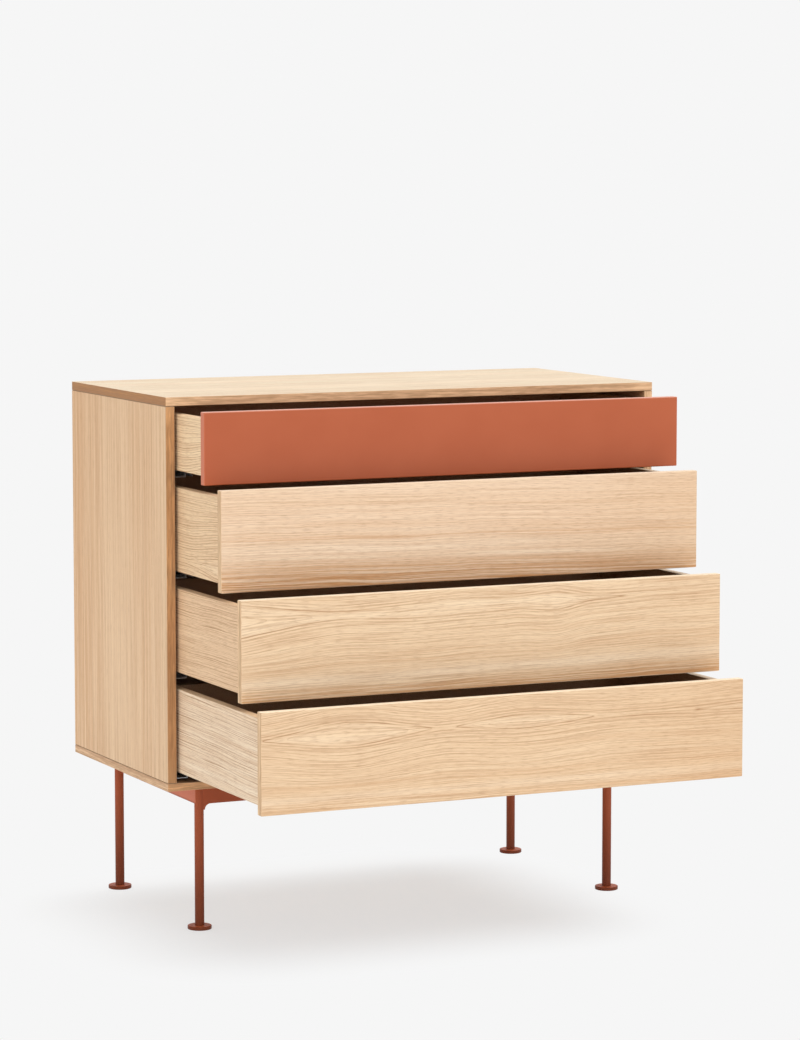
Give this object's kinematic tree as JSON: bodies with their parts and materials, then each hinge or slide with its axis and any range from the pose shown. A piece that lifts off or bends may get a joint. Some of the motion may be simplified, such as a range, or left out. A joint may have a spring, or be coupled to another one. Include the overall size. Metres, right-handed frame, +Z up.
{
  "type": "chest of drawers",
  "caption": "Free-standing chest with inset full-width drawers pulled out on hidden full-extension runners, oak-veneered carcass, one lacquered front and a slim steel base.",
  "frame": {"origin": "on the floor, in the middle of the box that the chest fills with its drawers as pictured", "axes": "+X to the right seen from the front, +Y towards the back, +Z up"},
  "size_m": [0.92, 0.806, 0.907],
  "materials": {
    "oak_veneer": "matt lacquered oak",
    "lacquer": "satin terracotta lacquer on board",
    "brown_lining": "brown laminated board",
    "powder_coat": "fine terracotta powder coat",
    "runner_steel": "zinc-plated steel"
  },
  "bodies": {
    "chest": {"top_panel": "oak_veneer", "bottom_panel": "oak_veneer", "left_side_panel": "oak_veneer", "right_side_panel": "oak_veneer", "back_panel": "brown_lining", "front_leg_frame": "powder_coat", "rear_leg_frame": "powder_coat", "left_side_rail": "powder_coat", "right_side_rail": "powder_coat", "front_left_foot": "powder_coat", "front_right_foot": "powder_coat", "rear_left_foot": "powder_coat", "rear_right_foot": "powder_coat", "top_drawer_left_cabinet_rail": "runner_steel", "top_drawer_right_cabinet_rail": "runner_steel", "second_drawer_left_cabinet_rail": "runner_steel", "second_drawer_right_cabinet_rail": "runner_steel", "third_drawer_left_cabinet_rail": "runner_steel", "third_drawer_right_cabinet_rail": "runner_steel", "bottom_drawer_left_cabinet_rail": "runner_steel", "bottom_drawer_right_cabinet_rail": "runner_steel"},
    "top_drawer": {"top_drawer_front": "lacquer", "top_drawer_left_side": "oak_veneer", "top_drawer_right_side": "oak_veneer", "top_drawer_back": "brown_lining", "top_drawer_bottom": "brown_lining", "top_drawer_left_drawer_rail": "runner_steel", "top_drawer_right_drawer_rail": "runner_steel"},
    "top_middle_rails": {"top_drawer_left_middle_rail": "runner_steel", "top_drawer_right_middle_rail": "runner_steel"},
    "second_drawer": {"second_drawer_front": "oak_veneer", "second_drawer_left_side": "oak_veneer", "second_drawer_right_side": "oak_veneer", "second_drawer_back": "brown_lining", "second_drawer_bottom": "brown_lining", "second_drawer_left_drawer_rail": "runner_steel", "second_drawer_right_drawer_rail": "runner_steel"},
    "second_middle_rails": {"second_drawer_left_middle_rail": "runner_steel", "second_drawer_right_middle_rail": "runner_steel"},
    "third_drawer": {"third_drawer_front": "oak_veneer", "third_drawer_left_side": "oak_veneer", "third_drawer_right_side": "oak_veneer", "third_drawer_back": "brown_lining", "third_drawer_bottom": "brown_lining", "third_drawer_left_drawer_rail": "runner_steel", "third_drawer_right_drawer_rail": "runner_steel"},
    "third_middle_rails": {"third_drawer_left_middle_rail": "runner_steel", "third_drawer_right_middle_rail": "runner_steel"},
    "bottom_drawer": {"bottom_drawer_front": "oak_veneer", "bottom_drawer_left_side": "oak_veneer", "bottom_drawer_right_side": "oak_veneer", "bottom_drawer_back": "brown_lining", "bottom_drawer_bottom": "brown_lining", "bottom_drawer_left_drawer_rail": "runner_steel", "bottom_drawer_right_drawer_rail": "runner_steel"},
    "bottom_middle_rails": {"bottom_drawer_left_middle_rail": "runner_steel", "bottom_drawer_right_middle_rail": "runner_steel"}
  },
  "joints": [
    {"name": "top_drawer_slide", "type": "slide", "parent": "chest", "child": "top_drawer", "axis": [0, -1, 0], "range_m": [-0.123, 0.272]},
    {"name": "top_middle_rails_slide", "type": "slide", "parent": "chest", "child": "top_middle_rails", "axis": [0, -1, 0], "range_m": [-0.0615, 0.136]},
    {"name": "second_drawer_slide", "type": "slide", "parent": "chest", "child": "second_drawer", "axis": [0, -1, 0], "range_m": [-0.194, 0.201]},
    {"name": "second_middle_rails_slide", "type": "slide", "parent": "chest", "child": "second_middle_rails", "axis": [0, -1, 0], "range_m": [-0.097, 0.1005]},
    {"name": "third_drawer_slide", "type": "slide", "parent": "chest", "child": "third_drawer", "axis": [0, -1, 0], "range_m": [-0.276, 0.119]},
    {"name": "third_middle_rails_slide", "type": "slide", "parent": "chest", "child": "third_middle_rails", "axis": [0, -1, 0], "range_m": [-0.138, 0.0595]},
    {"name": "bottom_drawer_slide", "type": "slide", "parent": "chest", "child": "bottom_drawer", "axis": [0, -1, 0], "range_m": [-0.356, 0.039]},
    {"name": "bottom_middle_rails_slide", "type": "slide", "parent": "chest", "child": "bottom_middle_rails", "axis": [0, -1, 0], "range_m": [-0.178, 0.0195]}
  ],
  "couplings": [
    {"joint": "top_middle_rails_slide", "follows": "top_drawer_slide", "ratio": 0.5},
    {"joint": "second_middle_rails_slide", "follows": "second_drawer_slide", "ratio": 0.5},
    {"joint": "third_middle_rails_slide", "follows": "third_drawer_slide", "ratio": 0.5},
    {"joint": "bottom_middle_rails_slide", "follows": "bottom_drawer_slide", "ratio": 0.5}
  ]
}
